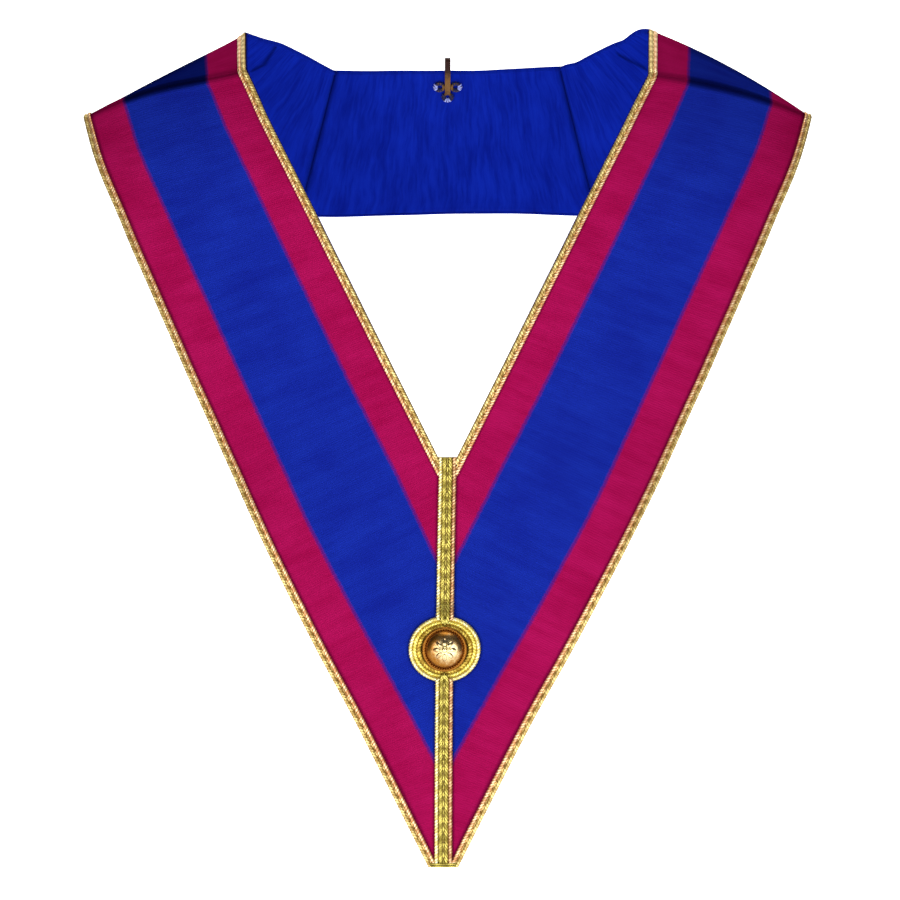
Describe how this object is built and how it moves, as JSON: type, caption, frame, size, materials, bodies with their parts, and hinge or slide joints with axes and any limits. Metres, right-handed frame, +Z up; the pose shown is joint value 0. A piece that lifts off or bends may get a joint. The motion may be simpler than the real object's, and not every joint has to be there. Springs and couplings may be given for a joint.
{
  "type": "masonic collar",
  "caption": "V-shaped regalia collar of striped blue and crimson ribbon with gold braid edges, a braided ring and gilt button on the seam, and a blue lining.",
  "frame": {"origin": "midway between the two shoulder ridges that carry the collar, at the middle of their height", "axes": "+Z up, the front faces -Y, +X to the viewer's right"},
  "size_m": [0.398, 0.2035, 0.4472],
  "materials": {
    "striped_ribbon": "ribbed silk, blue with crimson side stripes",
    "lining": "watered blue satin",
    "gold_braid": "metallic gold thread",
    "gilt_button": "gilt, domed",
    "hook_brass": "worn brass"
  },
  "bodies": {
    "root": {"front_ribbon_right": "striped_ribbon", "front_ribbon_left": "striped_ribbon", "shoulder_ribbon_right": "striped_ribbon", "shoulder_ribbon_left": "striped_ribbon", "back_ribbon": "striped_ribbon", "front_lining_right": "lining", "front_lining_left": "lining", "shoulder_lining_right": "lining", "shoulder_lining_left": "lining", "back_lining": "lining", "inner_braid": "gold_braid", "outer_braid": "gold_braid", "centre_braid_upper": "gold_braid", "centre_braid_lower": "gold_braid", "ring_braid": "gold_braid", "button": "gilt_button", "nape_hook": "hook_brass"}
  },
  "joints": []
}
